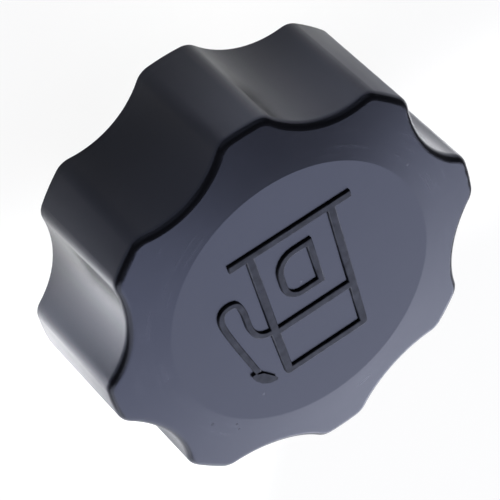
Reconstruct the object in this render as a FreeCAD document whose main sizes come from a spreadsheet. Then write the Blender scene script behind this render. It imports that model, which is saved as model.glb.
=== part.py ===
import FreeCAD, Part
import math
import os
import Sketcher

# Vented screw-on fuel cap with a ratchet between its grip and its threaded closure.
# The rim of the grip lies on the XY plane, the cap's axis is Z and the face looks up.

# Driving dimensions in millimetres and degrees

# Grip shell
lobe_height = 4.75
scallop_radius = 21.05
lobe_round = 4.2
edge_round = 1.6
draft_angle = 1.46
face_slope = 7.8
disc_radius = 28.9
shell_wall = 2.6
face_wall = 2.9

# Snap hooks and thrust rib inside the grip
hook_width = 8.0
hook_thickness = 2.0
hook_gap = 1.0
barb_gap = 1.2
barb_land = 1.0
barb_height = 3.4
rib_width = 1.4

# Threaded closure
thread_root_radius = 29.4
thread_length = 13.7
lead_in = 1.0
rim_recess = 1.5
closure_wall = 2.4
flange_width = 2.4
flange_thickness = 3.4
deck_wall = 2.5
groove_depth = 1.2
running_gap = 0.45
axial_gap = 0.3

# Neck gasket
gasket_thickness = 2.8
gasket_width = 5.9
gasket_play = 0.5
gasket_fit = 0.2

# Ratchet
tooth_depth = 1.5
tooth_span = 9.2
tooth_gap = 0.7
tooth_bite = 0.6
tooth_overrun = 0.6
ring_thickness = 3.5
ring_inner_web = 3.0
ring_outer_web = 1.5
ring_gap = 0.4
pawl_sweep = 35.0
pawl_thickness = 1.7
pawl_tip_gap = 0.5

# Drive lugs between the grip and the ratchet ring
lug_width = 5.0
lug_depth = 2.8
lug_fit = 0.25
lug_shoulder = 1.0

# Valve housing in the closure
valve_recess = 0.6
boss_floor = 1.6
boss_wall = 1.4
seat_lip_height = 0.6
seat_lip_width = 1.0
flow_gap = 1.4
seat_gap = 1.2
guide_gap = 0.3
guide_width = 1.2

# Pressure relief valve
seal_thickness = 1.0
seal_overhang = 2.4
plate_thickness = 1.2
plate_overhang = 0.4
plate_lip = 0.6
relief_wire = 0.6
relief_spring_inset = 1.6
relief_travel = 1.5
spring_seat_gap = 0.05

# Vacuum valve
valve_radius = 4.6
valve_thickness = 1.0
stem_radius = 1.2
stem_groove = 0.3
stem_head = 0.6
stem_gap = 0.4
seal_hole_gap = 0.7
vacuum_spring_length = 2.0
vacuum_wire = 0.35
vacuum_spring_gap = 0.8
clip_thickness = 0.6
clip_width = 1.6
clip_fit = 0.05

# Spring retainer and vent filter
retainer_step = 0.6
retainer_thickness = 1.2
retainer_fit = 0.05
retainer_hole_gap = 0.6
vent_hole_radius = 1.2
stem_headroom = 0.3
filter_thickness = 1.4
filter_fit = 0.2
filter_lip = 0.8
vent_gap = 0.9

# Sheet that holds the driving dimensions, one cell and alias for each
driving = {name: number for name, number in globals().items() if isinstance(number, float)}
doc = FreeCAD.newDocument("fuel_cap")
dims = doc.addObject("Spreadsheet::Sheet", "dims")
for row, (alias, number) in enumerate(driving.items(), 1):
    dims.set(f"A{row}", alias)
    dims.set(f"B{row}", str(number))
    dims.setAlias(f"B{row}", alias)
doc.recompute()

LOBES = 8
HOOKS = 4
TEETH = 36
PAWLS = 4
LUGS = 6
GUIDES = 4
VENT_HOLES = 6
RELIEF_TURNS = 2.5
VACUUM_TURNS = 2.5
RUNS_PER_TURN = 24
RIGHT_CORNERS = 1
FULL_TURN = 360.0

# Levels up the axis, from the rim
BORE_TOP = "(dims.rim_recess + dims.thread_length)"
DECK_UNDER = f"({BORE_TOP} + dims.gasket_play + dims.gasket_thickness)"
DECK_TOP = f"({DECK_UNDER} + dims.deck_wall)"
FLANGE_TOP = f"({BORE_TOP} + dims.flange_thickness)"
RING_BOTTOM = f"({DECK_TOP} + dims.axial_gap)"
RING_TOP = f"({RING_BOTTOM} + dims.ring_thickness)"
CUP_TOP = f"({RING_TOP} + dims.tooth_overrun)"
FLOOR_BOTTOM = f"({BORE_TOP} + dims.valve_recess)"
FLOOR_TOP = f"({FLOOR_BOTTOM} + dims.boss_floor)"
SEAT_TOP = f"({FLOOR_TOP} + dims.seat_lip_height)"
SEAL_TOP = f"({SEAT_TOP} + dims.seal_thickness)"
PLATE_TOP = f"({SEAL_TOP} + dims.plate_thickness)"
CLIP_BOTTOM = f"({PLATE_TOP} + dims.vacuum_spring_length)"
CLIP_TOP = f"({CLIP_BOTTOM} + dims.clip_thickness)"
STEM_TOP = f"({CLIP_TOP} + dims.stem_head)"
RETAINER_TOP = f"({STEM_TOP} + dims.relief_travel + dims.stem_headroom)"
RETAINER_BOTTOM = f"({RETAINER_TOP} - dims.retainer_thickness)"
BOSS_TOP = f"({RETAINER_TOP} + dims.filter_lip)"
FILTER_TOP = f"({RETAINER_TOP} + dims.filter_thickness)"
CEILING = f"({FILTER_TOP} + dims.vent_gap)"
FACE_TOP = f"({CEILING} + dims.face_wall)"
BARB_TOP = f"({BORE_TOP} - dims.axial_gap)"
HOOK_TIP = f"({BARB_TOP} - dims.barb_height)"

# Radii of the valve, from the stem and the valve disc outwards
SEAT_HOLE = "(dims.valve_radius + dims.seat_gap)"
SEAT_LIP = f"({SEAT_HOLE} + dims.seat_lip_width)"
SEAL_RADIUS = f"({SEAT_LIP} + dims.seal_overhang)"
SEAL_HOLE = "(dims.stem_radius + dims.seal_hole_gap)"
PLATE_RADIUS = f"({SEAL_RADIUS} + dims.plate_overhang)"
PLATE_HOLE = "(dims.stem_radius + dims.stem_gap)"
BOSS_BORE = f"({PLATE_RADIUS} + dims.flow_gap)"
COUNTERBORE = f"({BOSS_BORE} + dims.retainer_step)"
BOSS_RADIUS = f"({COUNTERBORE} + dims.boss_wall)"
CLIP_RADIUS = "(dims.stem_radius + dims.clip_width)"
RETAINER_HOLE = f"({CLIP_RADIUS} + dims.retainer_hole_gap)"
RELIEF_COIL = f"({PLATE_RADIUS} - dims.relief_spring_inset)"
VACUUM_COIL = "(dims.stem_radius + dims.vacuum_spring_gap + dims.vacuum_wire / 2)"

# Radii of the ratchet ring, from the valve housing outwards
RING_BORE = f"({BOSS_RADIUS} + dims.ring_gap)"
SLOT_INNER = f"({RING_BORE} + dims.ring_inner_web)"
LUG_INNER = f"({SLOT_INNER} + dims.lug_fit)"
SLOT_DEPTH = "(dims.lug_depth + 2 * dims.lug_fit)"
HUB_RADIUS = f"({SLOT_INNER} + {SLOT_DEPTH} + dims.ring_outer_web)"

# Radii of the closure and the grip, from the thread outwards
WALL_RADIUS = "(dims.thread_root_radius + dims.closure_wall)"
GROOVE_RADIUS = "(dims.thread_root_radius + dims.groove_depth)"
FLANGE_RADIUS = f"({WALL_RADIUS} + dims.flange_width)"
TOOTH_TIP = "(dims.thread_root_radius - dims.tooth_depth)"
PAWL_TIP = "(dims.thread_root_radius - dims.pawl_tip_gap)"
BARB_RADIUS = f"({WALL_RADIUS} + dims.barb_gap)"
HOOK_INNER = f"({FLANGE_RADIUS} + dims.hook_gap)"
HOOK_OUTER = f"({HOOK_INNER} + dims.hook_thickness)"
SCALLOP_FLOOR = f"({FLANGE_RADIUS} + dims.running_gap + dims.shell_wall)"
LOBE_RADIUS = f"({SCALLOP_FLOOR} + dims.lobe_height)"
SCALLOP_CENTRE = f"({SCALLOP_FLOOR} + dims.scallop_radius)"


def value(expression):
    """Work out an expression on the sheet's dimensions as a plain number."""
    return float(dims.evalExpression(expression))


def bind(feature, **expressions):
    """Tie a feature's properties to the sheet."""
    for name, expression in expressions.items():
        feature.setExpression(name, expression)


def origin_part(body, role):
    """One of a body's own origin planes or axes."""
    return next(part for part in body.Origin.OriginFeatures if part.Role == role)


def new_body(label):
    body = doc.addObject("PartDesign::Body", label)
    body.Label = label
    return body


def polygon(body, name, plane, points, level="0"):
    """A closed outline of straight lines, with every corner tied to the sheet."""
    sketch = body.newObject("Sketcher::SketchObject", name)
    sketch.AttachmentSupport = [(origin_part(body, plane), "")]
    sketch.MapMode = "FlatFace"
    sketch.setExpression("AttachmentOffset.Base.z", level)
    corners = [FreeCAD.Vector(value(x), value(y), 0) for x, y in points]
    last = len(corners) - 1
    for index, corner in enumerate(corners):
        following = corners[0] if index == last else corners[index + 1]
        sketch.addGeometry(Part.LineSegment(corner, following))
    for index in range(len(corners)):
        following = 0 if index == last else index + 1
        sketch.addConstraint(Sketcher.Constraint("Coincident", index, 2, following, 1))
    for index, (x, y) in enumerate(points):
        place(sketch, "DistanceX", -2, index, x)
        place(sketch, "DistanceY", -1, index, y)
    return sketch


def place(sketch, kind, axis, index, expression):
    """Hold one coordinate of an outline's corner on an axis or at its distance from the origin."""
    if expression == "0":
        sketch.addConstraint(Sketcher.Constraint("PointOnObject", index, 1, axis))
        return
    number = sketch.addConstraint(Sketcher.Constraint(kind, -1, 1, index, 1, value(expression)))
    sketch.setExpression(f"Constraints[{number}]", expression)


def turned(body, name, points):
    """A solid of revolution about the cap's axis, from its half section in radius and level."""
    section = polygon(body, f"{name}_section", "XZ_Plane", points)
    feature = body.newObject("PartDesign::Revolution", name)
    feature.Profile = section
    feature.ReferenceAxis = (section, ["V_Axis"])
    feature.Angle = FULL_TURN
    doc.recompute()
    return feature


def washer(label, inner, outer, bottom, top):
    """A flat ring as a turned body."""
    body = new_body(label)
    turned(body, f"{label}_ring", [(inner, bottom), (outer, bottom), (outer, top), (inner, top)])
    return body


def pad(body, name, sketch, length, both_sides=False):
    feature = body.newObject("PartDesign::Pad", name)
    feature.Profile = sketch
    if both_sides:
        feature.SideType = "Symmetric"
    bind(feature, Length=length)
    doc.recompute()
    return feature


def repeat(body, name, feature, count):
    """Repeat a feature round the cap's axis."""
    pattern = body.newObject("PartDesign::PolarPattern", name)
    pattern.Originals = [feature]
    pattern.Axis = (origin_part(body, "Z_Axis"), [""])
    pattern.Angle = FULL_TURN
    pattern.Occurrences = count
    body.Tip = pattern
    doc.recompute()
    return pattern


def block(body, kind, name, corner, length, width, height):
    """A box added to a body or cut from it, placed by its lowest corner."""
    feature = body.newObject(f"PartDesign::{kind}Box", name)
    feature.AttachmentSupport = [(origin_part(body, "XY_Plane"), "")]
    feature.MapMode = "FlatFace"
    for axis, expression in zip("xyz", corner):
        feature.setExpression(f"AttachmentOffset.Base.{axis}", expression)
    bind(feature, Length=length, Width=width, Height=height)
    doc.recompute()
    return feature


def rounded(body, name, radius, wanted):
    """Round the edges of a body's last feature that a test picks."""
    base = body.Tip
    edges = [f"Edge{number}" for number, edge in enumerate(base.Shape.Edges, 1) if wanted(edge)]
    feature = body.newObject("PartDesign::Fillet", name)
    feature.Base = (base, edges)
    bind(feature, Radius=radius)
    doc.recompute()
    return feature


def lobed_block(body, name, inset, top):
    """The grip's tapered, scalloped block with a flat disc in a shallow conical face.

    inset is how far its sides lie inside the grip's outside, and top is the level of its disc.
    """
    lobe = f"({LOBE_RADIUS} - {inset})"
    edge = f"({top} - ({lobe} - dims.disc_radius) * tan(dims.face_slope))"
    taper = f"{edge} * tan(dims.draft_angle)"
    turned(body, f"{name}_blank", [
        ("0", "0"),
        (f"{lobe} + {taper}", "0"),
        (lobe, edge),
        ("dims.disc_radius", top),
        ("0", top),
    ])
    cutter = body.newObject("PartDesign::SubtractiveCone", f"{name}_scallop")
    cutter.AttachmentSupport = [(origin_part(body, "XY_Plane"), "")]
    cutter.MapMode = "FlatFace"
    half_pitch = FULL_TURN / LOBES / 2
    cutter.setExpression("AttachmentOffset.Base.x", f"{SCALLOP_CENTRE} * cos({half_pitch})")
    cutter.setExpression("AttachmentOffset.Base.y", f"{SCALLOP_CENTRE} * sin({half_pitch})")
    bind(
        cutter,
        Radius1=f"dims.scallop_radius + {inset} - {taper}",
        Radius2=f"dims.scallop_radius + {inset} + ({top} - {edge}) * tan(dims.draft_angle)",
        Height=top,
    )
    doc.recompute()
    repeat(body, f"{name}_scallops", cutter, LOBES)
    return value(edge)


def reach(vertex):
    """A vertex's distance from the cap's axis."""
    return (vertex.X ** 2 + vertex.Y ** 2) ** 0.5


def coil(label, radius, wire, bottom, top, turns):
    """A round-wire compression spring between two seats, swept along short straight runs."""
    coil_radius = value(radius)
    wire_radius = value(wire) / 2
    first = value(bottom) + value("dims.spring_seat_gap") + wire_radius
    rise = value(top) - value("dims.spring_seat_gap") - wire_radius - first
    runs = round(turns * RUNS_PER_TURN)
    path = []
    for run in range(runs + 1):
        angle = 2 * math.pi * run / RUNS_PER_TURN
        height = first + rise * run / runs
        path.append(FreeCAD.Vector(coil_radius * math.cos(angle), coil_radius * math.sin(angle), height))
    section = Part.Wire(Part.makeCircle(wire_radius, path[0], path[1] - path[0]))
    spring = doc.addObject("Part::Feature", label)
    spring.Label = label
    spring.Shape = Part.makePolygon(path).makePipeShell([section], True, False, RIGHT_CORNERS)
    spring.Placement = FreeCAD.Placement()
    return spring


# Closure: the threaded cup, its flange and deck, the ratchet's toothed wall and the valve housing
closure_body = new_body("closure_body")
turned(closure_body, "closure_shell", [
    (SEAT_HOLE, FLOOR_BOTTOM),
    (SEAT_HOLE, SEAT_TOP),
    (SEAT_LIP, SEAT_TOP),
    (SEAT_LIP, FLOOR_TOP),
    (BOSS_BORE, FLOOR_TOP),
    (BOSS_BORE, RETAINER_BOTTOM),
    (COUNTERBORE, RETAINER_BOTTOM),
    (COUNTERBORE, BOSS_TOP),
    (BOSS_RADIUS, BOSS_TOP),
    (BOSS_RADIUS, DECK_TOP),
    ("dims.thread_root_radius", DECK_TOP),
    ("dims.thread_root_radius", CUP_TOP),
    (WALL_RADIUS, CUP_TOP),
    (WALL_RADIUS, FLANGE_TOP),
    (FLANGE_RADIUS, FLANGE_TOP),
    (FLANGE_RADIUS, BORE_TOP),
    (WALL_RADIUS, BORE_TOP),
    (WALL_RADIUS, "dims.rim_recess"),
    ("dims.thread_root_radius + dims.lead_in", "dims.rim_recess"),
    ("dims.thread_root_radius", "dims.rim_recess + dims.lead_in"),
    ("dims.thread_root_radius", BORE_TOP),
    (GROOVE_RADIUS, BORE_TOP),
    (GROOVE_RADIUS, DECK_UNDER),
    (BOSS_RADIUS, DECK_UNDER),
    (BOSS_RADIUS, FLOOR_BOTTOM),
])

# One saw tooth of the ratchet: a radial driving face and a slope that the pawls ride over
tooth_face = "(dims.pawl_sweep + dims.tooth_gap)"
tooth_end = f"({tooth_face} + dims.tooth_span)"
tooth_back = "(dims.thread_root_radius + dims.tooth_bite)"
tooth_outline = polygon(
    closure_body,
    "tooth_outline",
    "XY_Plane",
    [
        (f"{tooth_back} * cos{tooth_face}", f"{tooth_back} * sin{tooth_face}"),
        (f"{TOOTH_TIP} * cos{tooth_face}", f"{TOOTH_TIP} * sin{tooth_face}"),
        (f"dims.thread_root_radius * cos{tooth_end}", f"dims.thread_root_radius * sin{tooth_end}"),
        (f"{tooth_back} * cos{tooth_end}", f"{tooth_back} * sin{tooth_end}"),
    ],
    f"{DECK_TOP} - dims.tooth_bite",
)
tooth = pad(closure_body, "tooth", tooth_outline, f"{CUP_TOP} - {DECK_TOP} + dims.tooth_bite")
repeat(closure_body, "teeth", tooth, TEETH)

# Guide ribs that keep the relief plate in the middle of its housing
guide = block(
    closure_body,
    "Additive",
    "guide_rib",
    (f"{PLATE_RADIUS} + dims.guide_gap", "-dims.guide_width / 2", f"{FLOOR_TOP} - dims.boss_floor / 2"),
    "dims.flow_gap - dims.guide_gap + dims.boss_wall / 2",
    "dims.guide_width",
    f"{RETAINER_BOTTOM} - {FLOOR_TOP} + dims.boss_floor / 2",
)
repeat(closure_body, "guide_ribs", guide, GUIDES)

# Gasket in the groove under the deck, which the filler neck's lip presses on
neck_gasket = washer(
    "neck_gasket",
    f"{GROOVE_RADIUS} - dims.gasket_fit - dims.gasket_width",
    f"{GROOVE_RADIUS} - dims.gasket_fit",
    f"{BORE_TOP} + dims.gasket_play",
    DECK_UNDER,
)

# Vacuum valve: a disc under the relief seal, with a stem and a groove for its clip
vacuum_valve = new_body("vacuum_valve")
turned(vacuum_valve, "valve_turning", [
    ("0", f"{SEAT_TOP} - dims.valve_thickness"),
    ("dims.valve_radius", f"{SEAT_TOP} - dims.valve_thickness"),
    ("dims.valve_radius", SEAT_TOP),
    ("dims.stem_radius", SEAT_TOP),
    ("dims.stem_radius", CLIP_BOTTOM),
    ("dims.stem_radius - dims.stem_groove", CLIP_BOTTOM),
    ("dims.stem_radius - dims.stem_groove", CLIP_TOP),
    ("dims.stem_radius", CLIP_TOP),
    ("dims.stem_radius", STEM_TOP),
    ("0", STEM_TOP),
])

# Relief seal and the plate that carries it, which lift off the seat together
relief_seal = washer("relief_seal", SEAL_HOLE, SEAL_RADIUS, SEAT_TOP, SEAL_TOP)
relief_plate = new_body("relief_plate")
turned(relief_plate, "plate_turning", [
    (PLATE_HOLE, SEAL_TOP),
    (PLATE_RADIUS, SEAL_TOP),
    (PLATE_RADIUS, f"{PLATE_TOP} + dims.plate_lip"),
    (f"{PLATE_RADIUS} - dims.plate_lip", f"{PLATE_TOP} + dims.plate_lip"),
    (f"{PLATE_RADIUS} - dims.plate_lip", PLATE_TOP),
    (PLATE_HOLE, PLATE_TOP),
])

# Vacuum spring round the stem, held by the clip in the stem's groove
vacuum_spring = coil("vacuum_spring", VACUUM_COIL, "dims.vacuum_wire", PLATE_TOP, CLIP_BOTTOM, VACUUM_TURNS)
vacuum_clip = washer(
    "vacuum_clip",
    "dims.stem_radius - dims.stem_groove + dims.clip_fit",
    CLIP_RADIUS,
    CLIP_BOTTOM,
    CLIP_TOP,
)

# Relief spring between the plate and the retainer pressed into the housing
relief_spring = coil("relief_spring", RELIEF_COIL, "dims.relief_wire", PLATE_TOP, RETAINER_BOTTOM, RELIEF_TURNS)
spring_retainer = washer(
    "spring_retainer",
    RETAINER_HOLE,
    f"{COUNTERBORE} - dims.retainer_fit",
    RETAINER_BOTTOM,
    RETAINER_TOP,
)
vent_hole = spring_retainer.newObject("PartDesign::SubtractiveCylinder", "vent_hole")
vent_hole.AttachmentSupport = [(origin_part(spring_retainer, "XY_Plane"), "")]
vent_hole.MapMode = "FlatFace"
vent_hole.setExpression("AttachmentOffset.Base.x", f"({RETAINER_HOLE} + {RELIEF_COIL} - dims.relief_wire / 2) / 2")
bind(vent_hole, Radius="dims.vent_hole_radius", Height=f"{RETAINER_TOP} + dims.retainer_thickness")
doc.recompute()
repeat(spring_retainer, "vent_holes", vent_hole, VENT_HOLES)

# Foam filter on the retainer, which keeps dust out of the valves
vent_filter = new_body("vent_filter")
turned(vent_filter, "filter_disc", [
    ("0", RETAINER_TOP),
    (f"{COUNTERBORE} - dims.filter_fit", RETAINER_TOP),
    (f"{COUNTERBORE} - dims.filter_fit", FILTER_TOP),
    ("0", FILTER_TOP),
])

# Ratchet ring: a hub with sprung pawls, slotted for the grip's drive lugs
ratchet_ring = washer("ratchet_ring", RING_BORE, HUB_RADIUS, RING_BOTTOM, RING_TOP)
pawl_outline = polygon(
    ratchet_ring,
    "pawl_outline",
    "XY_Plane",
    [
        (f"{HUB_RADIUS} - dims.pawl_thickness", "0"),
        (HUB_RADIUS, "0"),
        (f"{PAWL_TIP} * cos(dims.pawl_sweep)", f"{PAWL_TIP} * sin(dims.pawl_sweep)"),
        (
            f"({PAWL_TIP} - dims.pawl_thickness) * cos(dims.pawl_sweep)",
            f"({PAWL_TIP} - dims.pawl_thickness) * sin(dims.pawl_sweep)",
        ),
    ],
    RING_BOTTOM,
)
pawl = pad(ratchet_ring, "pawl", pawl_outline, "dims.ring_thickness")
repeat(ratchet_ring, "pawls", pawl, PAWLS)
slot_width = "(dims.lug_width + 2 * dims.lug_fit)"
slot = block(
    ratchet_ring,
    "Subtractive",
    "lug_slot",
    (SLOT_INNER, f"-{slot_width} / 2", f"{RING_BOTTOM} - dims.axial_gap"),
    SLOT_DEPTH,
    slot_width,
    "dims.ring_thickness + 2 * dims.axial_gap",
)
repeat(ratchet_ring, "lug_slots", slot, LUGS)

# Grip shell: the outside first, then the cavity, then what is moulded inside it
cavity = new_body("cavity")
lobed_block(cavity, "cavity", "dims.shell_wall", CEILING)
grip_shell = new_body("grip_shell")
face_edge = lobed_block(grip_shell, "grip", "0", FACE_TOP)
inside_edge = value("dims.disc_radius") + value("dims.lobe_height") / 2
rounded(
    grip_shell,
    "lobe_corners",
    "dims.lobe_round",
    lambda edge: min(v.Z for v in edge.Vertexes) < face_edge / 2 < max(v.Z for v in edge.Vertexes),
)
rounded(
    grip_shell,
    "face_edge",
    "dims.edge_round",
    lambda edge: all(v.Z > face_edge / 2 and reach(v) > inside_edge for v in edge.Vertexes),
)
hollow = grip_shell.newObject("PartDesign::Boolean", "hollow")
hollow.Type = "Cut"
hollow.setObjects([cavity])
doc.recompute()

# Snap hooks that hold the closure by its flange
hook_outline = polygon(grip_shell, "hook_outline", "XZ_Plane", [
    (HOOK_INNER, CEILING),
    (HOOK_INNER, BARB_TOP),
    (BARB_RADIUS, BARB_TOP),
    (BARB_RADIUS, f"{BARB_TOP} - dims.barb_land"),
    (HOOK_INNER, HOOK_TIP),
    (HOOK_OUTER, HOOK_TIP),
    (HOOK_OUTER, CEILING),
])
hook = pad(grip_shell, "hook", hook_outline, "dims.hook_width", both_sides=True)
repeat(grip_shell, "hooks", hook, HOOKS)

# Rib that bears on the toothed wall when the cap is pushed down
rib_middle = "(dims.thread_root_radius + dims.closure_wall / 2)"
turned(grip_shell, "thrust_rib", [
    (f"{rib_middle} - dims.rib_width / 2", f"{CUP_TOP} + dims.axial_gap"),
    (f"{rib_middle} + dims.rib_width / 2", f"{CUP_TOP} + dims.axial_gap"),
    (f"{rib_middle} + dims.rib_width / 2", CEILING),
    (f"{rib_middle} - dims.rib_width / 2", CEILING),
])

# Drive lugs: each has a shoulder that rests on the ratchet ring and a key in its slot
shoulder = block(
    grip_shell,
    "Additive",
    "lug_shoulder",
    (f"{LUG_INNER} - dims.lug_shoulder", "-dims.lug_width / 2 - dims.lug_shoulder", RING_TOP),
    "dims.lug_depth + 2 * dims.lug_shoulder",
    "dims.lug_width + 2 * dims.lug_shoulder",
    f"{CEILING} - {RING_TOP}",
)
repeat(grip_shell, "lug_shoulders", shoulder, LUGS)
key = block(
    grip_shell,
    "Additive",
    "lug_key",
    (LUG_INNER, "-dims.lug_width / 2", f"{RING_BOTTOM} + dims.axial_gap"),
    "dims.lug_depth",
    "dims.lug_width",
    f"{RING_TOP} - {RING_BOTTOM}",
)
repeat(grip_shell, "lug_keys", key, LUGS)

PIECES = [
    closure_body,
    neck_gasket,
    vacuum_valve,
    relief_seal,
    relief_plate,
    vacuum_spring,
    vacuum_clip,
    relief_spring,
    spring_retainer,
    vent_filter,
    ratchet_ring,
    grip_shell,
]

doc.recompute()
for thing in doc.Objects:
    if "Invalid" in thing.State or "Error" in thing.State:
        raise RuntimeError(f"{thing.Name} could not be built")
for piece in PIECES:
    if piece.Shape.isNull() or not piece.Shape.isValid() or len(piece.Shape.Solids) != 1:
        raise RuntimeError(f"{piece.Label} is not one valid solid")

os.makedirs("parts", exist_ok=True)
for piece in PIECES:
    piece.Shape.exportStep(f"parts/{piece.Label}.step")
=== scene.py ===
import math

import bmesh
import bpy
from mathutils import Matrix, Vector


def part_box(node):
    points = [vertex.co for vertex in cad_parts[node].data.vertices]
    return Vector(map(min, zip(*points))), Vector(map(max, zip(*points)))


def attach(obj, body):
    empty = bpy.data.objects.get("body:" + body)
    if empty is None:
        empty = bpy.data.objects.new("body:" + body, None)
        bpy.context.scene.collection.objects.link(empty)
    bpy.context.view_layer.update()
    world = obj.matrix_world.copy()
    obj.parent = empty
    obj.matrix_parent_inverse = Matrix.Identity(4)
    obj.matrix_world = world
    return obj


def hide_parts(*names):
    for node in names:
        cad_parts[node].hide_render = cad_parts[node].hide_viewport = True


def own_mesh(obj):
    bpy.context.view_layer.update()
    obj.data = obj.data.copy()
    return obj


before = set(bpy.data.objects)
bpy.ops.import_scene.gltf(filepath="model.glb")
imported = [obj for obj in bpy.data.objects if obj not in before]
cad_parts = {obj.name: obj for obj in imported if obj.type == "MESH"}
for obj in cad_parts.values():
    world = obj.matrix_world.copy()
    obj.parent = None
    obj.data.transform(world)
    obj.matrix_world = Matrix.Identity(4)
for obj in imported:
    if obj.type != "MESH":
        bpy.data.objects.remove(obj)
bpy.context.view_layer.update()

# Closure: the threaded cup that screws onto the filler neck, moulded in black acetal with a fine
# spark-eroded grain. The valve housing, the deck and the toothed ratchet wall are part of it.
mm = 0.001
noise_low, noise_high = 0.3, 0.7
cloud_low, cloud_high = 0.35, 0.7
gloss_patch = 2.2
tool_grain = 0.22


def shader_of(made):
    """The Principled shader of a material."""
    return made.node_tree.nodes["Principled BSDF"]


def material(name, **inputs):
    """A Principled material, with the values that are the same all over set on its own sockets."""
    made = bpy.data.materials.new(name)
    made.use_nodes = True
    for socket, value in inputs.items():
        shader_of(made).inputs[socket.replace("_", " ")].default_value = value
    return made


def node(made, kind, **settings):
    """A node of a material, with its settings and the default values of its inputs."""
    added = made.node_tree.nodes.new(f"ShaderNode{kind}")
    for name, value in settings.items():
        if hasattr(added, name):
            setattr(added, name, value)
        else:
            added.inputs[name.replace("_", " ")].default_value = value
    return added


def link(made, output, target):
    """Join an output of one node to an input of another."""
    made.node_tree.links.new(output, target)


def feed(made, output, socket):
    """Join an output to a socket of the material's shader."""
    link(made, output, shader_of(made).inputs[socket])


def place(made, scale=(1, 1, 1)):
    """The surface's own coordinates in millimetres, stretched by a scale."""
    coordinates = node(made, "TexCoord")
    mapping = node(made, "Mapping", Scale=[step / mm for step in scale])
    link(made, coordinates.outputs["Object"], mapping.inputs["Vector"])
    return mapping.outputs["Vector"]


def noise(made, where, grain, detail=3.0, roughness=0.5):
    """Noise whose grain is about so many millimetres."""
    texture = node(made, "TexNoise", Scale=1 / grain, Detail=detail, Roughness=roughness)
    link(made, where, texture.inputs["Vector"])
    return texture.outputs["Fac"]


def ramp(made, value, low, high, dark, light):
    """A value remapped to a range, or to a blend of two colours where these are given."""
    if isinstance(dark, (int, float)):
        remap = node(made, "MapRange", From_Min=low, From_Max=high, To_Min=dark, To_Max=light)
        link(made, value, remap.inputs["Value"])
        return remap.outputs["Result"]
    blend = node(made, "ValToRGB")
    stops = blend.color_ramp.elements
    stops[0].position, stops[0].color = low, (*dark, 1)
    stops[1].position, stops[1].color = high, (*light, 1)
    link(made, value, blend.inputs["Fac"])
    return blend.outputs["Color"]


def bump(made, height, depth, under=None):
    """Relief so many millimetres deep, over other relief if there is any."""
    relief = node(made, "Bump", Distance=depth * mm)
    link(made, height, relief.inputs["Height"])
    if under:
        link(made, under, relief.inputs["Normal"])
    return relief.outputs["Normal"]


def moulded_plastic(name, dark, light, roughness, patchy=0.05, clouds=6.0, grain_depth=0.012, **inputs):
    """Injection-moulded plastic: cloudy colour, patchy gloss and the tool's fine grain."""
    made = material(name, **inputs)
    where = place(made)
    cloud = noise(made, where, clouds, detail=5.0)
    feed(made, ramp(made, cloud, cloud_low, cloud_high, dark, light), "Base Color")
    patches = noise(made, where, gloss_patch, detail=6.0, roughness=0.6)
    gloss = ramp(made, patches, noise_low, noise_high, roughness - patchy, roughness + patchy)
    feed(made, gloss, "Roughness")
    grain = noise(made, where, tool_grain, detail=2.0)
    feed(made, bump(made, grain, grain_depth), "Normal")
    return made


def finish_node(name, made):
    """Give a CAD node its finish."""
    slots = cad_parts[name].data.materials
    slots.clear()
    slots.append(made)


closure_plastic = moulded_plastic(
    "closure_plastic",
    dark=(0.011, 0.011, 0.012),
    light=(0.018, 0.018, 0.02),
    roughness=0.42,
    Specular_IOR_Level=0.4,
)
finish_node("closure_body", closure_plastic)

# Neck thread: a little over two turns of a rounded ridge on the wall of the closure's bore, moulded with
# it on an unscrewing core. It runs out into the wall at both ends.
thread_root = 29.4
thread_crest = 27.7
thread_pitch = 4.5
thread_turns = 2.15
thread_start = 4.0
thread_half_base = 1.35
thread_half_flank = 0.585
thread_half_crest = 0.27
thread_flank_share = 0.75
thread_sink = 0.12
thread_steps = 96
thread_run_out = 0.12


def mesh_object(name, points, faces, smooth_angle=40):
    """A mesh object from points in millimetres, smooth up to an angle in degrees."""
    mesh = bpy.data.meshes.new(name)
    mesh.from_pydata([Vector(point) * mm for point in points], [], faces)
    made = bmesh.new()
    made.from_mesh(mesh)
    bmesh.ops.recalc_face_normals(made, faces=made.faces)
    made.to_mesh(mesh)
    made.free()
    mesh.shade_smooth()
    mesh.set_sharp_from_angle(angle=math.radians(smooth_angle))
    placed = bpy.data.objects.new(name, mesh)
    bpy.context.scene.collection.objects.link(placed)
    return placed


def lofted(name, rings, smooth_angle=40):
    """A closed tube through rings of equally many points, with a cap at each end."""
    count = len(rings[0])
    points = [point for ring in rings for point in ring]
    faces = [tuple(range(count)), tuple(range(len(points) - count, len(points)))]
    for ring in range(len(rings) - 1):
        for side in range(count):
            following = (side + 1) % count
            first, second = ring * count, (ring + 1) * count
            faces.append((first + side, first + following, second + following, second + side))
    return mesh_object(name, points, faces, smooth_angle)


def thread_ring(step):
    """The thread's section at one step of its helix, lower where the thread runs out."""
    along = step / (thread_steps * thread_turns)
    angle = math.tau * step / thread_steps
    level = thread_start + thread_pitch * step / thread_steps
    full = min(1, along / thread_run_out, (1 - along) / thread_run_out)
    height = (thread_root - thread_crest) * math.sin(full * math.pi / 2)
    inner, outer = thread_root - height, thread_root + thread_sink
    flank = thread_root - height * thread_flank_share
    section = [
        (outer, -thread_half_base),
        (flank, -thread_half_flank),
        (inner, -thread_half_crest),
        (inner, thread_half_crest),
        (flank, thread_half_flank),
        (outer, thread_half_base),
    ]
    return [(r * math.cos(angle), r * math.sin(angle), level + z) for r, z in section]


thread_count = int(thread_steps * thread_turns)
neck_thread = lofted("neck_thread", [thread_ring(step) for step in range(thread_count + 1)])
neck_thread.data.materials.append(closure_plastic)
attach(neck_thread, "closure")

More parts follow.
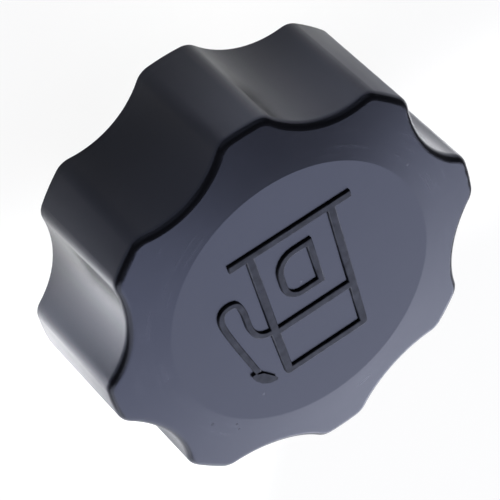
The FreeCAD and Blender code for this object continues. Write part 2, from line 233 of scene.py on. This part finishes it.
# Neck gasket: a flat ring of black nitrile rubber, cut from sheet and pushed into the groove under
# the deck, where the lip of the filler neck presses on it.
bloom_patch = 4.0
bloom_low, bloom_high = 0.4, 0.75
bloom_lightness, bloom_roughness = 1.8, 0.15
cut_grain, cut_depth = 0.15, 0.02


def rubber(name, colour, roughness):
    """Sheet rubber: matt, with a dusty bloom and a fine cut grain."""
    made = material(name, Specular_IOR_Level=0.3)
    where = place(made)
    bloom = noise(made, where, bloom_patch, detail=6.0, roughness=0.65)
    dusty = tuple(part * bloom_lightness for part in colour)
    feed(made, ramp(made, bloom, bloom_low, bloom_high, colour, dusty), "Base Color")
    gloss = ramp(made, bloom, noise_low, noise_high, roughness, roughness + bloom_roughness)
    feed(made, gloss, "Roughness")
    feed(made, bump(made, noise(made, where, cut_grain), cut_depth), "Normal")
    return made


finish_node("neck_gasket", rubber("gasket_rubber", colour=(0.016, 0.016, 0.017), roughness=0.7))

# Vacuum valve: a small mushroom moulded in natural acetal. Its disc closes the hole in the relief
# valve from below, and its stem goes up through the plate.
finish_node("vacuum_valve", moulded_plastic(
    "valve_plastic",
    dark=(0.62, 0.6, 0.54),
    light=(0.72, 0.7, 0.64),
    roughness=0.38,
    Subsurface_Weight=0.1,
    Subsurface_Scale=0.4 * mm,
))

# Relief seal and relief plate: a rubber disc under a zinc-plated steel pressing. Together they lift
# off the seat when the tank's pressure pushes them up.
streak_width, streak_depth = 0.4, 0.006
streak_low, streak_high = 0.3, 0.65
tarnish_shade, tarnish_roughness = 0.72, 0.1


def drawn_steel(name, colour, roughness, grain):
    """Bright steel: rolled or drawn streaks along one way, with a little tarnish."""
    made = material(name, Metallic=1.0)
    streaks = noise(made, place(made, grain), streak_width, detail=4.0)
    tarnish = tuple(part * tarnish_shade for part in colour)
    feed(made, ramp(made, streaks, streak_low, streak_high, tarnish, colour), "Base Color")
    gloss = ramp(made, streaks, noise_low, noise_high, roughness + tarnish_roughness, roughness)
    feed(made, gloss, "Roughness")
    feed(made, bump(made, streaks, streak_depth), "Normal")
    return made


finish_node("relief_seal", rubber("seal_rubber", colour=(0.02, 0.012, 0.01), roughness=0.6))
finish_node("relief_plate", drawn_steel(
    "plate_steel", colour=(0.66, 0.64, 0.55), roughness=0.3, grain=(0.1, 2.0, 1.0)
))

# Vacuum spring and clip: a fine coil of spring wire round the valve's stem, held down by a push-on
# steel clip in the stem's groove. The spring closes up as the valve drops.
vacuum_coil_radius, vacuum_wire = 2.175, 0.35
coil_turns = 2.5
coil_steps = 40
wire_sides = 10
spring_steel = drawn_steel(
    "spring_steel", colour=(0.55, 0.55, 0.56), roughness=0.22, grain=(1.0, 1.0, 4.0)
)


def coil_spring(name, radius, wire, bottom, top):
    """A compression spring of round wire whose wire stays between two levels."""
    first, last = bottom + wire / 2, top - wire / 2
    total = round(coil_turns * coil_steps)
    slope = math.atan2((last - first) / coil_turns, math.tau * radius)
    rings = []
    for step in range(total + 1):
        angle = math.tau * step / coil_steps
        out = Vector((math.cos(angle), math.sin(angle), 0))
        along = Vector((-math.sin(angle), math.cos(angle), math.tan(slope))).normalized()
        across = out.cross(along)
        centre = out * radius + Vector((0, 0, first + (last - first) * step / total))
        ring = []
        for side in range(wire_sides):
            turn = math.tau * side / wire_sides
            ring.append(centre + (out * math.cos(turn) + across * math.sin(turn)) * wire / 2)
        rings.append(ring)
    return lofted(name, rings, smooth_angle=60)


def node_levels(name):
    """The lowest and the highest level of a CAD node, in millimetres."""
    low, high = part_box(name)
    return low.z / mm, high.z / mm


vacuum_levels = node_levels("vacuum_spring")
vacuum_coil = coil_spring("vacuum_coil", vacuum_coil_radius, vacuum_wire, *vacuum_levels)
vacuum_coil.data.materials.append(spring_steel)
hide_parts("vacuum_spring")
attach(vacuum_coil, "relief")
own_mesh(vacuum_coil)
finish_node("vacuum_clip", drawn_steel(
    "clip_steel", colour=(0.5, 0.5, 0.5), roughness=0.3, grain=(1.0, 0.2, 1.0)
))

# Relief spring and its retainer: a wider coil of spring wire that holds the relief valve on its seat,
# under a perforated acetal disc that is pressed into the top of the housing.
relief_coil_radius, relief_wire = 8.0, 0.6
relief_levels = node_levels("relief_spring")
relief_coil = coil_spring("relief_coil", relief_coil_radius, relief_wire, *relief_levels)
relief_coil.data.materials.append(spring_steel)
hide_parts("relief_spring")
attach(relief_coil, "closure")
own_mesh(relief_coil)
finish_node("spring_retainer", moulded_plastic(
    "retainer_plastic",
    dark=(0.5, 0.48, 0.43),
    light=(0.6, 0.58, 0.52),
    roughness=0.4,
    Specular_IOR_Level=0.4,
))

# Vent filter: a disc of open-cell polyurethane foam, punched from sheet and laid on the retainer. It
# keeps dust out of the valves.
foam_cell = 0.6
foam_pore, foam_strut = 0.1, 0.6
foam_painted_pore_shade, foam_strut_grey = (0.03, 0.03, 0.03), (0.1, 0.1, 0.1)
filter_foam = material("filter_foam", Roughness=0.95, Specular_IOR_Level=0.1)
foam_cells = node(filter_foam, "TexVoronoi", Scale=1 / foam_cell)
link(filter_foam, place(filter_foam), foam_cells.inputs["Vector"])
cell_depth = foam_cells.outputs["Distance"]
# The colour is dark in the middle of each cell and lighter on the struts between cells: the dark is
# painted shade in the pores, not a colour of the foam.
foam_shade = ramp(filter_foam, cell_depth, foam_pore, foam_strut, foam_painted_pore_shade, foam_strut_grey)
feed(filter_foam, foam_shade, "Base Color")
feed(filter_foam, bump(filter_foam, cell_depth, foam_cell / 2), "Normal")
finish_node("vent_filter", filter_foam)

# Ratchet ring: moulded in grey glass-filled nylon, with four sprung pawls. The grip's lugs key into
# its slots and its pawls click over the closure's teeth.
finish_node("ratchet_ring", moulded_plastic(
    "ring_plastic",
    dark=(0.1, 0.1, 0.1),
    light=(0.15, 0.15, 0.15),
    roughness=0.5,
    Specular_IOR_Level=0.4,
))

# Grip shell: the scalloped outside that the hand turns, moulded in black polypropylene with a satin
# skin. Handling has left faint scuffs round the sloping part of its face, a few specks of dust and some
# small matt nicks.
face_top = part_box("grip_shell")[1].z / mm
flat_radius = 28.9
face_slope = math.tan(math.radians(7.8))
blue_sheen = (0.66, 0.72, 1.0, 1.0)
scuff_width, scuff_stretch = 0.9, 12.0
scuff_low, scuff_high = 0.45, 0.75
scuff_patch = 9.0
patch_low, patch_high = 0.4, 0.65
scuff_reach, scuff_fade = 38.0, 1.5
scuff_grey = (0.022, 0.022, 0.026)
scuff_depth, scuff_roughness = 0.004, 0.36
dust_grey = (0.05, 0.05, 0.055)
dust_specks = [(-14.4, -18.0, 0.45), (28.6, 13.5, 0.4), (0.5, 2.9, 0.4)]
nicks = [(-26.2, -17.4, 0.5), (-21.7, -21.2, 0.42), (-21.6, -22.9, 0.35)]
nick_roughness = 0.55
grip_plastic = moulded_plastic(
    "grip_plastic",
    dark=(0.003, 0.003, 0.004),
    light=(0.005, 0.005, 0.006),
    roughness=0.26,
    patchy=0.012,
    grain_depth=0.004,
    Specular_IOR_Level=0.42,
    Specular_Tint=blue_sheen,
)


def fed_by(made, socket):
    """The output that feeds a socket of the material's shader."""
    return shader_of(made).inputs[socket].links[0].from_socket


def mask(made, value, low, high):
    """0 where a value is low, 1 where it is high."""
    return ramp(made, value, low, high, 0.0, 1.0)


def share(made, whole, amount):
    """A mask that reaches an amount in place of 1."""
    return ramp(made, whole, 0.0, 1.0, 0.0, amount)


def combined(made, operation, *values):
    """Values joined one after another by an operation."""
    joined = values[0]
    for value in values[1:]:
        step = node(made, "Math", operation=operation)
        link(made, joined, step.inputs[0])
        link(made, value, step.inputs[1])
        joined = step.outputs[0]
    return joined


def face_spot(made, x, y, radius, middle):
    """A small round spot on the face, with a value in its middle and 0 outside it."""
    level = face_top - max(0, math.hypot(x, y) - flat_radius) * face_slope
    away = node(made, "VectorMath", operation="DISTANCE")
    link(made, place(made), away.inputs[0])
    away.inputs[1].default_value = (x, y, level)
    return ramp(made, away.outputs["Value"], radius / 2, radius, middle, 0.0)


def cover(made, where, colour):
    """Lay a colour over what the surface has, where a mask is 1."""
    laid = node(made, "MixRGB", Color2=(*colour, 1))
    link(made, where, laid.inputs["Fac"])
    link(made, fed_by(made, "Base Color"), laid.inputs["Color1"])
    feed(made, laid.outputs["Color"], "Base Color")


def scuffs(made):
    """Soft streaks round the axis, in worn patches of the sloping part of the face."""
    axes = node(made, "SeparateXYZ")
    link(made, place(made), axes.inputs["Vector"])
    bearing = node(made, "Math", operation="ARCTAN2")
    link(made, axes.outputs["Y"], bearing.inputs[0])
    link(made, axes.outputs["X"], bearing.inputs[1])
    reach = node(made, "VectorMath", operation="LENGTH")
    link(made, place(made, (1, 1, 0)), reach.inputs[0])
    polar = node(made, "CombineXYZ")
    link(made, reach.outputs["Value"], polar.inputs["X"])
    link(made, bearing.outputs[0], polar.inputs["Y"])
    streaked = node(made, "Mapping", Scale=(1, flat_radius / scuff_stretch, 1))
    link(made, polar.outputs["Vector"], streaked.inputs["Vector"])
    streak_noise = noise(made, streaked.outputs["Vector"], scuff_width, detail=4.0)
    streaks = mask(made, streak_noise, scuff_low, scuff_high)
    patches = mask(made, noise(made, place(made), scuff_patch), patch_low, patch_high)
    inner = mask(made, reach.outputs["Value"], flat_radius, flat_radius + scuff_fade)
    edge_level = face_top - (scuff_reach - flat_radius) * face_slope
    outer = mask(made, axes.outputs["Z"], edge_level, edge_level + scuff_fade * face_slope)
    return combined(made, "MULTIPLY", streaks, patches, inner, outer)


worn = scuffs(grip_plastic)
cover(grip_plastic, worn, scuff_grey)
dust = [face_spot(grip_plastic, x, y, radius, 1.0) for x, y, radius in dust_specks]
cover(grip_plastic, combined(grip_plastic, "MAXIMUM", *dust), dust_grey)
matt = [face_spot(grip_plastic, x, y, radius, nick_roughness) for x, y, radius in nicks]
matt.append(share(grip_plastic, worn, scuff_roughness))
satin = fed_by(grip_plastic, "Roughness")
feed(grip_plastic, combined(grip_plastic, "MAXIMUM", satin, *matt), "Roughness")
skin = fed_by(grip_plastic, "Normal")
feed(grip_plastic, bump(grip_plastic, worn, scuff_depth, under=skin), "Normal")
finish_node("grip_shell", grip_plastic)

# Pump sign: the common sign for diesel, a filling pump with its hose and a D, moulded as a raised outline
# on the flat middle of the face. Its tops are matt and blotchy, and its edges are slightly rounded.
sign_height, sign_sink, sign_edge = 0.55, 0.1, 0.2
bar_left, bar_right, bar_low, bar_high = -12.4, 15.45, 15.45, 17.05
leg_left, leg_right, leg_lean = (-8.67, -6.95), (9.62, 11.32), 0.019
shelf_low, shelf_high = -5.55, -3.93
base_low, base_high, base_round = -16.6, -15.1, 1.0
hose_width, hose_steps = 1.3, 6
hose_line = [
    (-7.8, -4.1), (-10.0, -3.7), (-11.6, -2.4), (-12.4, 0.1), (-12.5, 4.7),
    (-13.3, 7.4), (-15.2, 8.0), (-16.8, 7.1), (-17.3, 4.5), (-16.3, -1.3), (-13.9, -11.7),
]
nozzle = [
    (-13.2, -12.5), (-12.0, -14.0), (-10.8, -15.6), (-11.0, -15.9), (-12.4, -15.6), (-13.8, -14.6),
    (-14.8, -13.2), (-15.3, -12.0), (-15.2, -11.6),
]
letter_stroke = 1.38
letter_right, letter_low, letter_high = 5.13, 0.17, 12.0
upper_bow, upper_bow_radius = (1.0, 7.12), 4.88
lower_bow, lower_bow_radius = (0.17, 4.22), 4.05


def smooth_line(points, steps):
    """A smooth line through points, as a Catmull-Rom spline."""
    padded = [points[0], *points, points[-1]]
    line = []
    for before, first, second, after in zip(padded, padded[1:], padded[2:], padded[3:]):
        for step in range(steps):
            t = step / steps
            shares = (
                (2 * t ** 2 - t - t ** 3) / 2,
                (2 - 5 * t ** 2 + 3 * t ** 3) / 2,
                (t + 4 * t ** 2 - 3 * t ** 3) / 2,
                (t ** 3 - t ** 2) / 2,
            )
            corners = zip(before, first, second, after)
            line.append(tuple(sum(s * c for s, c in zip(shares, corner)) for corner in corners))
    return [*line, points[-1]]


def beside(line, distance):
    """A line a distance to the left of another one."""
    moved = []
    for index, (x, y) in enumerate(line):
        ahead, behind = line[min(index + 1, len(line) - 1)], line[max(index - 1, 0)]
        along = Vector((ahead[0] - behind[0], ahead[1] - behind[1])).normalized()
        moved.append((x - along.y * distance, y + along.x * distance))
    return moved


def hose_side(distance):
    """The part of a line beside the hose that is clear of the left leg."""
    middle = smooth_line(hose_line, hose_steps)
    return [point for point in beside(middle, distance) if point[0] < leg_left[0]]


def arc(centre, radius, start, end, steps=6):
    """Points on an arc between two angles in degrees."""
    angles = [math.radians(start + (end - start) * step / steps) for step in range(steps + 1)]
    return [(centre[0] + radius * math.cos(a), centre[1] + radius * math.sin(a)) for a in angles]


def leaned(x, y):
    """A point of the right leg, which leans out a little towards the bar."""
    return x + leg_lean * y, y


def opening(low, high):
    """An opening between the two legs."""
    return [
        (leg_left[1], high),
        leaned(leg_right[0], high),
        leaned(leg_right[0], low),
        (leg_left[1], low),
    ]


def letter(inset):
    """The letter's outline, drawn in by an inset."""
    return [
        (letter_right - inset, letter_high - inset),
        *arc(upper_bow, upper_bow_radius - inset, 90, 180),
        *arc(lower_bow, lower_bow_radius - inset, 180, 270),
        (letter_right - inset, letter_low + inset),
    ]


base_right = leaned(leg_right[1], base_low)[0]
pump_outline = [
    (bar_left, bar_high),
    (bar_left, bar_low),
    (leg_left[0], bar_low),
    *hose_side(-hose_width / 2),
    *nozzle,
    *reversed(hose_side(hose_width / 2)),
    *arc((leg_left[0] + base_round, base_low + base_round), base_round, 180, 270),
    *arc((base_right - base_round, base_low + base_round), base_round, 270, 360),
    leaned(leg_right[1], bar_low),
    (bar_right, bar_low),
    (bar_right, bar_high),
]
sign_outlines = [
    pump_outline,
    opening(shelf_high, bar_low),
    opening(base_high, shelf_low),
    letter(0),
    letter(letter_stroke),
]
sign_curve = bpy.data.curves.new("pump_sign", "CURVE")
sign_curve.dimensions = "2D"
sign_curve.fill_mode = "BOTH"
for outline in sign_outlines:
    spline = sign_curve.splines.new("POLY")
    spline.points.add(len(outline) - 1)
    spline.use_cyclic_u = True
    for point, (x, y) in zip(spline.points, outline):
        point.co = (x * mm, y * mm, 0, 1)
sign_curve.bevel_depth = sign_edge * mm
sign_curve.bevel_resolution = 2
sign_curve.offset = -sign_edge * mm
sign_curve.extrude = ((sign_height + sign_sink) / 2 - sign_edge) * mm
sign_draft = bpy.data.objects.new("pump_sign_draft", sign_curve)
bpy.context.scene.collection.objects.link(sign_draft)
bpy.context.view_layer.update()
sign_solid = sign_draft.evaluated_get(bpy.context.evaluated_depsgraph_get())
sign_mesh = bpy.data.meshes.new_from_object(sign_solid)
bpy.data.objects.remove(sign_draft)
sign_mesh.transform(Matrix.Translation((0, 0, (face_top + (sign_height - sign_sink) / 2) * mm)))
sign_mesh.materials.clear()
sign_mesh.materials.append(moulded_plastic(
    "sign_plastic",
    dark=(0.001, 0.001, 0.002),
    light=(0.02, 0.021, 0.025),
    roughness=0.4,
    patchy=0.16,
    clouds=1.6,
    Specular_IOR_Level=0.19,
    Specular_Tint=blue_sheen,
))
pump_sign = bpy.data.objects.new("pump_sign", sign_mesh)
bpy.context.scene.collection.objects.link(pump_sign)
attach(pump_sign, "grip")

# Floor: a plain white sheet that the cap rests on by its rim. The camera sees it almost white, and
# mirrors see it mostly as it is lit, so the cap's shadow stays in both.
floor_half, floor_gap = 4000, 0.02
floor_white = (0.9, 0.9, 0.9, 1.0)
camera_glow, mirror_glow = 0.9, 0.15
sheet_corners = [(-1, -1), (1, -1), (1, 1), (-1, 1)]
sheet_points = [(x * floor_half, y * floor_half, -floor_gap) for x, y in sheet_corners]
floor = mesh_object("floor", sheet_points, [(0, 1, 2, 3)])
floor_paint = material("floor_paint", Base_Color=floor_white, Roughness=0.9, Specular_IOR_Level=0.0)
seen = node(floor_paint, "LightPath")
mirror_rays = seen.outputs["Is Glossy Ray"], seen.outputs["Is Transmission Ray"]
in_mirror = combined(floor_paint, "MAXIMUM", *mirror_rays)
mirror_share = share(floor_paint, in_mirror, mirror_glow)
camera_share = share(floor_paint, seen.outputs["Is Camera Ray"], camera_glow)
glow = node(floor_paint, "Emission", Color=(1, 1, 1, 1), Strength=1.0)
floor_mix = node(floor_paint, "MixShader")
glow_share = combined(floor_paint, "MAXIMUM", mirror_share, camera_share)
link(floor_paint, glow_share, floor_mix.inputs["Fac"])
link(floor_paint, shader_of(floor_paint).outputs["BSDF"], floor_mix.inputs[1])
link(floor_paint, glow.outputs["Emission"], floor_mix.inputs[2])
floor_surface = floor_paint.node_tree.nodes["Material Output"].inputs["Surface"]
link(floor_paint, floor_mix.outputs["Shader"], floor_surface)
floor.data.materials.append(floor_paint)

# Light: a dim room, with a broad soft box behind the cap, a low one beneath it, a narrow one at the left
# and a faint one in front. Four small lamps light patches of the floor alone, so that the walls of the
# grip mirror a brighter sheet there.
horizon_height, horizon_grey = 0.05, (0.12, 0.12, 0.125, 1)
overhead_height, overhead_grey = 0.5, (0.06, 0.06, 0.063, 1)
white, pale_blue, faint_blue = (1, 1, 1), (0.83, 0.86, 1.0), (0.92, 0.94, 1.0)
origin, upright = (0, 0, 0), (0, 0, 1)
pool_lamp = 0.03
room = bpy.data.worlds.new("room")
room.use_nodes = True
bpy.context.scene.world = room
room_nodes, room_links = room.node_tree.nodes, room.node_tree.links
direction = room_nodes.new("ShaderNodeTexCoord")
split = room_nodes.new("ShaderNodeSeparateXYZ")
height_shade = room_nodes.new("ShaderNodeValToRGB")
horizon, overhead = height_shade.color_ramp.elements
horizon.position, horizon.color = horizon_height, horizon_grey
overhead.position, overhead.color = overhead_height, overhead_grey
room_links.new(direction.outputs["Generated"], split.inputs["Vector"])
room_links.new(split.outputs["Z"], height_shade.inputs["Fac"])
room_links.new(height_shade.outputs["Color"], room_nodes["Background"].inputs["Color"])
floor_only = bpy.data.collections.new("floor_only")
floor_only.objects.link(floor)


def soft_box(name, towards, up, width, height, brightness, colour=white, target=origin, distance=2.0):
    """A rectangular lamp, in metres, that looks from a distance at a target in millimetres."""
    lamp = bpy.data.lights.new(name, "AREA")
    lamp.shape = "RECTANGLE"
    lamp.size, lamp.size_y = width, height
    lamp.energy = brightness * math.pi * width * height
    lamp.color = colour
    back = Vector(towards).normalized()
    side = Vector(up).cross(back).normalized()
    stand = bpy.data.objects.new(name, lamp)
    bpy.context.scene.collection.objects.link(stand)
    turn = Matrix((side, back.cross(side), back)).transposed()
    stand.matrix_world = Matrix.Translation(Vector(target) * mm + back * distance) @ turn.to_4x4()
    stand.visible_camera = False
    return stand


def floor_pool(name, target, towards, distance, spread, brightness):
    """A small lamp whose narrow beam, so many degrees wide, lights the floor and nothing else."""
    lamp = soft_box(name, towards, upright, pool_lamp, pool_lamp, brightness, white, target, distance)
    lamp.data.spread = math.radians(spread)
    lamp.light_linking.receiver_collection = floor_only


soft_box(
    "back_box", towards=(0.09, -0.80, 0.60), up=(0.45, 0.56, 0.69),
    width=3.0, height=1.85, brightness=3.4, colour=pale_blue,
)
soft_box(
    "low_box", towards=(-0.1, -0.985, 0.14), up=upright,
    width=3.0, height=0.56, brightness=2.6, colour=faint_blue,
)
soft_box(
    "left_box", towards=(-0.73, -0.46, 0.5), up=upright,
    width=1.2, height=1.9, brightness=2.2,
)
soft_box(
    "fill_box", towards=(0.1, 0.9, 0.42), up=upright,
    width=3.2, height=1.5, brightness=0.25, colour=faint_blue,
)
floor_pool(
    "left_pool", target=(-60, 1, 0), towards=(-0.88, -0.06, 0.47),
    distance=0.25, spread=12, brightness=12.0,
)
floor_pool(
    "right_pool", target=(28, 76, 0), towards=(0.2, 0.86, 0.47),
    distance=0.3, spread=15, brightness=8.0,
)
floor_pool(
    "front_pool", target=(-44, -68, 0), towards=(-0.35, -0.81, 0.47),
    distance=0.25, spread=11, brightness=52.0,
)
floor_pool(
    "far_pool", target=(76, -24, 0), towards=(0.86, -0.2, 0.47),
    distance=0.25, spread=9, brightness=6.0,
)

# Camera: a long lens, held about 0.42 m from the cap and tilted over so far that the cap seems to stand
# on its edge.
camera = bpy.data.cameras.new("camera")
camera.lens = 150.66
camera.sensor_width = 36.0
camera_place = Vector((-95.74, 283.28, 296.83)) * mm
camera_right = Vector((0.81812, -0.24729, 0.51916))
camera_up = Vector((0.52724, 0.68297, -0.50554))
camera_turn = Matrix((camera_right, camera_up, camera_right.cross(camera_up))).transposed()
tripod = bpy.data.objects.new("camera", camera)
bpy.context.scene.collection.objects.link(tripod)
tripod.matrix_world = Matrix.Translation(camera_place) @ camera_turn.to_4x4()
bpy.context.scene.camera = tripod
bpy.context.scene.view_settings.view_transform = "Standard"
